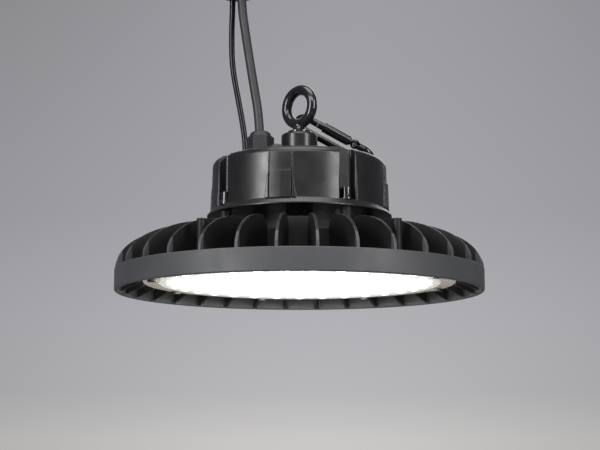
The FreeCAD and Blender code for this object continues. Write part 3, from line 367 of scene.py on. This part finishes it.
def lit_chips():
    """Phosphor of the lamps, lit a warm white."""
    material, tree, shader = new_material("lit phosphor")
    surface = use(tree, "grain", Colour=(0.86, 0.72, 0.22), Shade=(0.80, 0.62, 0.16), Grain=1500.0,
                  Height=0.00002, Rounding=0.0002, Rough_Low=0.5, Rough_High=0.65)
    feed(tree, shader.inputs["Base Color"], surface["Colour"])
    feed(tree, shader.inputs["Roughness"], surface["Roughness"])
    feed(tree, shader.inputs["Normal"], surface["Normal"])
    warm = ramp(tree, noise(tree, place_of(tree), 700.0), 0.3, 0.7)
    feed(tree, shader.inputs["Emission Color"],
         blend_colours(tree, warm, (1.0, 0.93, 0.72), (1.0, 0.97, 0.86)))
    set_shader(shader, Emission_Strength=3.0)
    return material


def wound(name, wire, core, centre, pitch, inside):
    """Wire wound round a core: grooves by the angle about centre, with painted shade down in each groove, the
    core showing where inside says.
    """
    material, tree, shader = new_material(name)
    split = add(tree, "ShaderNodeSeparateXYZ")
    feed(tree, split.inputs[0], place_of(tree))
    x = calc(tree, "SUBTRACT", split.outputs["X"], centre[0])
    y = calc(tree, "SUBTRACT", split.outputs["Y"], centre[1])
    along = calc(tree, "MULTIPLY", calc(tree, "ARCTAN2", y, x), inside) if inside else split.outputs["Z"]
    turns = use(tree, "grooves", Along=along, Pitch=pitch, Depth=0.0003)
    surface = use(tree, "grain", Colour=wire, Shade=core, Grain=600.0, Rough_Low=0.28, Rough_High=0.42)
    # painted shade: the grooves between turns are darkened to a third of the wire's colour
    groove_shade = tuple(0.35 * c for c in wire)
    feed(tree, shader.inputs["Base Color"],
         blend_colours(tree, ramp(tree, turns["Mask"], 0.0, 0.6), groove_shade, surface["Colour"]))
    feed(tree, shader.inputs["Roughness"], surface["Roughness"])
    feed(tree, shader.inputs["Normal"], turns["Normal"])
    set_shader(shader, Coat_Weight=0.3)
    return material


def circuit_board(name, mask_colour, trace_colour, scale):
    """Solder mask over copper: blocky traces a shade lighter than the board."""
    material, tree, shader = new_material(name)
    cells = add(tree, "ShaderNodeTexVoronoi", distance="MANHATTAN", feature="DISTANCE_TO_EDGE")
    feed(tree, cells.inputs["Vector"], place_of(tree))
    feed(tree, cells.inputs["Scale"], scale)
    trace = ramp(tree, cells.outputs["Distance"], 0.03, 0.06)
    surface = use(tree, "grain", Colour=mask_colour, Shade=tuple(0.8 * c for c in mask_colour), Grain=1400.0,
                  Height=0.00001, Rounding=0.0002, Rough_Low=0.3, Rough_High=0.4)
    feed(tree, shader.inputs["Base Color"], blend_colours(tree, trace, surface["Colour"], trace_colour))
    feed(tree, shader.inputs["Roughness"], surface["Roughness"])
    bump = add(tree, "ShaderNodeBump")
    feed(tree, bump.inputs["Height"], trace)
    feed(tree, bump.inputs["Distance"], 0.00006)
    feed(tree, shader.inputs["Normal"], bump.outputs[0])
    set_shader(shader, Coat_Weight=0.4, Coat_Roughness=0.15)
    return material


def capacitor_can():
    """Printed sleeve round each can, with a bare pressed top."""
    material, tree, shader = new_material("capacitor can")
    split = add(tree, "ShaderNodeSeparateXYZ")
    feed(tree, split.inputs[0], add(tree, "ShaderNodeNewGeometry").outputs["Normal"])
    top = ramp(tree, split.outputs["Z"], 0.5, 0.8)
    surface = use(tree, "grain", Colour=(0.03, 0.03, 0.035), Shade=(0.018, 0.018, 0.022), Grain=700.0,
                  Rough_Low=0.22, Rough_High=0.32)
    feed(tree, shader.inputs["Base Color"], blend_colours(tree, top, surface["Colour"], (0.62, 0.62, 0.63)))
    feed(tree, shader.inputs["Metallic"], top)
    feed(tree, shader.inputs["Roughness"], surface["Roughness"])
    feed(tree, shader.inputs["Normal"], surface["Normal"])
    return material


def make_finishes():
    black_gloss = dict(rough=(0.18, 0.27), grain=700.0, height=0.00001, rounding=0.0004, Coat_Weight=0.3,
                       Coat_Roughness=0.08)
    steel = dict(rough=(0.24, 0.38), grain=1600.0, height=0.00001, rounding=0.0003, Metallic=1.0)
    nylon = dict(rough=(0.42, 0.55), grain=1100.0, height=0.00002, rounding=0.0006)
    rubber = dict(rough=(0.62, 0.78), grain=1500.0, height=0.00003, rounding=0.0003)
    return {
        "sink": sink_coat(),
        # the cover's pale edges are partly wear and partly a painted highlight
        "cover": finish("black satin coat", (0.0085, 0.0085, 0.0095), (0.006, 0.006, 0.007),
                        (0.27, 0.36), 1100.0, 0.00002, 0.0008, bare=(0.15, 0.15, 0.155), wear=0.85,
                        dust=0.04),
        "steel": finish("zinc plated steel", (0.60, 0.60, 0.61), (0.50, 0.50, 0.50), **steel),
        "stainless": finish("dulled stainless screws", (0.09, 0.09, 0.087), (0.055, 0.055, 0.053), **steel),
        "eye": finish("glossy black eye bolt", (0.010, 0.010, 0.011), (0.007, 0.007, 0.008),
                      bare=(0.06, 0.06, 0.06), wear=0.2, **black_gloss),
        "hook": finish("glossy black hook", (0.005, 0.005, 0.0055), (0.003, 0.003, 0.0035),
                       (0.10, 0.16), 700.0, 0.00001, 0.0003, bare=(0.08, 0.08, 0.08), wear=0.4,
                       Coat_Weight=0.2, Coat_Roughness=0.06),
        "nylon": finish("black nylon", (0.014, 0.014, 0.016), (0.010, 0.010, 0.011), dust=0.08, **nylon),
        "rubber": finish("black rubber", (0.018, 0.018, 0.019), (0.012, 0.012, 0.013), **rubber),
        "silicone": finish("grey silicone", (0.42, 0.42, 0.41), (0.34, 0.34, 0.33), **rubber),
        "pad": finish("thermal pad", (0.30, 0.32, 0.35), (0.25, 0.27, 0.30), **rubber),
        "jacket": finish("dull cable jacket", (0.020, 0.018, 0.018), (0.013, 0.012, 0.012),
                         (0.42, 0.54), 520.0, 0.00004, 0.0002),
        "thin jacket": finish("glossy cable jacket", (0.006, 0.006, 0.006), (0.004, 0.004, 0.004),
                              (0.20, 0.28), 640.0, 0.00002, 0.0002, Specular_IOR_Level=0.3),
        "lead": finish("grey lead", (0.20, 0.20, 0.21), (0.15, 0.15, 0.16), (0.45, 0.55), 600.0),
        "rose": finish("moulded rose", (0.10, 0.10, 0.105), (0.08, 0.08, 0.085), dust=0.08, **nylon),
        "terminal": finish("green terminal", (0.02, 0.22, 0.07), (0.015, 0.16, 0.05), (0.38, 0.5), 800.0),
        "lens": lit_lens(),
        "chips": lit_chips(),
        "lamp_board": circuit_board("white lamp board", (0.78, 0.78, 0.76), (0.66, 0.66, 0.64), 160.0),
        "driver_board": circuit_board("green driver board", (0.02, 0.13, 0.05), (0.06, 0.24, 0.10), 420.0),
        "choke": wound("choke winding", (0.60, 0.26, 0.10), (0.42, 0.16, 0.06),
                       (-0.030, 0.012), 0.0011, 0.011),
        "transformer": wound("transformer", (0.55, 0.42, 0.10), (0.40, 0.30, 0.07),
                             (0.018, 0.014), 0.0012, 0.0),
        "can": capacitor_can(),
    }


FINISH_OF = {
    "heat_sink": "sink", "driver_cover": "cover", "driver_base": "cover", "lens": "lens",
    "lens_gasket": "silicone", "lens_screws": "stainless", "thermal_pad": "pad", "lamp_board": "lamp_board",
    "lamp_chips": "chips", "lamp_board_screws": "steel", "lamp_lead": "lead", "lead_grommet": "rubber",
    "hub_seal": "rubber", "driver_base_gasket": "rubber", "driver_screws": "stainless",
    "driver_washers": "stainless", "driver_lock_washers": "stainless",
    "driver_board": "driver_board", "driver_board_screws": "steel", "transformer": "transformer",
    "capacitors": "can", "choke": "choke", "input_terminal": "terminal", "output_terminal": "terminal",
    "eye_bolt": "eye", "eye_bolt_seal": "rubber", "snap_hook_body": "hook", "snap_hook_gate": "hook",
    "snap_hook_pin": "steel", "snap_hook_sleeve": "hook", "power_gland_body": "nylon",
    "power_gland_seal": "rubber", "power_gland_nut": "nylon", "power_gland_locknut": "nylon",
    "dimming_gland_body": "nylon", "dimming_gland_seal": "rubber", "dimming_gland_nut": "nylon",
    "dimming_gland_locknut": "nylon", "vent_plug": "nylon", "power_cable": "jacket",
    "dimming_cable": "thin jacket", "ceiling_rose": "rose",
}


def dress(finishes):
    """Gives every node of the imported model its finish."""
    for name, node in NODES.items():
        node.data.materials.clear()
        node.data.materials.append(finishes[FINISH_OF[name]])
        for polygon in node.data.polygons:
            polygon.material_index = 0


# ---------------------------------------------------------------- room
FLOOR_Z = -1.45
FLOOR_RINGS = (1.0, 3.0, 7.0)  # radii
FLOOR_SIDES = 96
BACKDROP = ((0.0, (0.62, 0.61, 0.60)), (0.155, (0.585, 0.575, 0.565)), (0.215, (0.475, 0.472, 0.485)),
            (0.30, (0.445, 0.443, 0.470)), (0.44, (0.376, 0.373, 0.398)), (0.68, (0.345, 0.345, 0.365)),
            (1.0, (0.30, 0.30, 0.318)))        # from low to high
ROOM_COLOUR, ROOM_STRENGTH = (0.42, 0.43, 0.45), 0.34


def floor():
    """Round pale floor far below the light."""
    mesh = bpy.data.meshes.new("floor")
    sides = FLOOR_SIDES
    points, faces = [(0.0, 0.0, FLOOR_Z)], []
    for radius in FLOOR_RINGS:
        turns = [2 * math.pi * k / sides for k in range(sides)]
        points += [(radius * math.cos(turn), radius * math.sin(turn), FLOOR_Z) for turn in turns]
    for k in range(sides):
        n = (k + 1) % sides
        faces.append((0, 1 + k, 1 + n))
        for ring in range(len(FLOOR_RINGS) - 1):
            a, b = 1 + ring * sides, 1 + (ring + 1) * sides
            faces.append((a + k, b + k, b + n, a + n))
    mesh.from_pydata(points, [], faces)
    piece = bpy.data.objects.new("floor", mesh)
    bpy.context.scene.collection.objects.link(piece)
    material, tree, shader = new_material("pale floor")
    grey = noise(tree, place_of(tree), 3.0, 4.0)
    feed(tree, shader.inputs["Base Color"],
         blend_colours(tree, ramp(tree, grey, 0.3, 0.7), (0.60, 0.60, 0.61), (0.64, 0.64, 0.65)))
    feed(tree, shader.inputs["Roughness"], ramp(tree, grey, 0.3, 0.7, 0.75, 0.9))
    mesh.materials.append(material)


def room_light():
    """Pale grey room: darker upwards and to the sides where it is seen, plain where it lights."""
    world = bpy.data.worlds.new("room")
    bpy.context.scene.world = world
    world.use_nodes = True
    tree = world.node_tree
    tree.nodes.clear()
    split = add(tree, "ShaderNodeSeparateXYZ")
    feed(tree, split.inputs[0], add(tree, "ShaderNodeTexCoord").outputs["Generated"])
    height = add(tree, "ShaderNodeValToRGB")
    feed(tree, height.inputs[0], ramp(tree, split.outputs["Z"], -0.1, 0.5, smooth=False))
    band = height.color_ramp
    while len(band.elements) < len(BACKDROP):
        band.elements.new(0.5)
    for element, (position, colour) in zip(band.elements, BACKDROP):
        element.position, element.color = position, (*colour, 1.0)
    off_level = calc(tree, "DIVIDE", calc(tree, "SUBTRACT", split.outputs["Z"], 0.157), 0.165)
    centre = calc(tree, "ADD", calc(tree, "MULTIPLY", off_level, 0.015), 0.025)
    aside = calc(tree, "SUBTRACT", split.outputs["X"], centre)
    steep = calc(tree, "ADD", calc(tree, "MULTIPLY", calc(tree, "MULTIPLY", off_level, off_level), 2.6), 2.83)
    spread = calc(tree, "MULTIPLY", calc(tree, "MULTIPLY", aside, aside), calc(tree, "MULTIPLY", steep, 2.5))
    fall = calc(tree, "ADD", calc(tree, "DIVIDE", 0.5, calc(tree, "ADD", spread, 1.0)), 0.5)
    seen = add(tree, "ShaderNodeBackground")
    scaled = add(tree, "ShaderNodeVectorMath", operation="SCALE")
    feed(tree, scaled.inputs[0], height.outputs[0])
    feed(tree, scaled.inputs["Scale"], fall)
    feed(tree, seen.inputs["Color"], scaled.outputs[0])
    lighting = add(tree, "ShaderNodeBackground")
    feed(tree, lighting.inputs["Color"], ROOM_COLOUR)
    feed(tree, lighting.inputs["Strength"], ROOM_STRENGTH)
    path = add(tree, "ShaderNodeLightPath")
    shown = calc(tree, "MAXIMUM", path.outputs["Is Camera Ray"], path.outputs["Is Transmission Ray"])
    pick = add(tree, "ShaderNodeMixShader")
    feed(tree, pick.inputs[0], shown)
    feed(tree, pick.inputs[1], lighting.outputs[0])
    feed(tree, pick.inputs[2], seen.outputs[0])
    feed(tree, add(tree, "ShaderNodeOutputWorld").inputs[0], pick.outputs[0])


def softbox(name, place, aim, size, watts):
    data = bpy.data.lights.new(name, "AREA")
    data.shape = "RECTANGLE"
    data.size, data.size_y = size
    data.energy = watts
    lamp = bpy.data.objects.new(name, data)
    lamp.location = place
    lamp.rotation_euler = (Vector(aim) - Vector(place)).to_track_quat("-Z", "Y").to_euler()
    bpy.context.scene.collection.objects.link(lamp)


def studio_lights():
    middle = (0.0, 0.0, 0.07)
    softbox("right softbox", (1.5, -1.35, 0.5), middle, (0.40, 1.4), 24.0)
    softbox("left softbox", (-1.5, -1.45, 0.5), middle, (0.5, 1.4), 34.0)
    softbox("overhead softbox", (0.0, -0.5, 2.0), middle, (1.8, 1.4), 30.0)
    softbox("front fill", (0.0, -2.6, 1.9), middle, (2.4, 0.8), 36.0)
    softbox("back rim light", (0.3, 1.8, 1.0), middle, (1.6, 0.9), 7.0)


# ---------------------------------------------------------------- make
set_camera()
power = cable("power_jacket", POWER_ROUTE, POWER_D)
dimming = cable("dimming_jacket", DIMMING_ROUTE, DIMMING_D)
FINISHES = make_finishes()
dress(FINISHES)
power.data.materials.append(FINISHES["jacket"])
dimming.data.materials.append(FINISHES["thin jacket"])
floor()
room_light()
studio_lights()
bpy.context.scene.view_settings.view_transform = "Standard"
